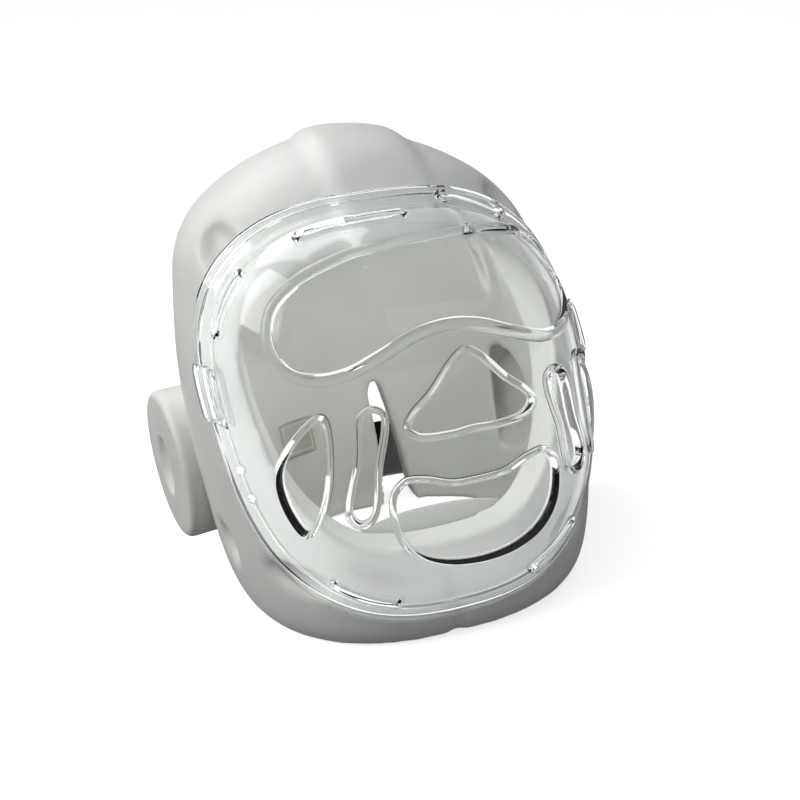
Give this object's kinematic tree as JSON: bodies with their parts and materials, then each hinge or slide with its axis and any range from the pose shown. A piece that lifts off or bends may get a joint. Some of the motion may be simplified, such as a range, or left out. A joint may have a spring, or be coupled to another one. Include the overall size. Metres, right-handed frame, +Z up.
{
  "type": "sparring headgear with face shield",
  "caption": "Open-faced foam head guard with chin bar, round ear pads and a slit nape with elastic strap, carrying a clear domed face shield with vents",
  "frame": {"origin": "middle of the box on the ground under the lower rim, on which the guard stands", "axes": "+Z up, the face looks towards -Y, the wearer's left is towards +X"},
  "size_m": [0.2738, 0.2528, 0.2505],
  "materials": {
    "dipped_foam": "satin skin over foam",
    "clear_shield": "clear, glossy",
    "black_elastic": "woven, dull",
    "label_cloth": "printed cloth, bare"
  },
  "bodies": {
    "root": {"foam_shell": "dipped_foam", "ear_disc_right": "dipped_foam", "ear_disc_left": "dipped_foam", "chin_cup": "dipped_foam", "face_shield": "clear_shield", "shield_clip_right": "clear_shield", "shield_clip_left": "clear_shield", "rear_strap": "black_elastic", "inner_label": "label_cloth"}
  },
  "joints": []
}
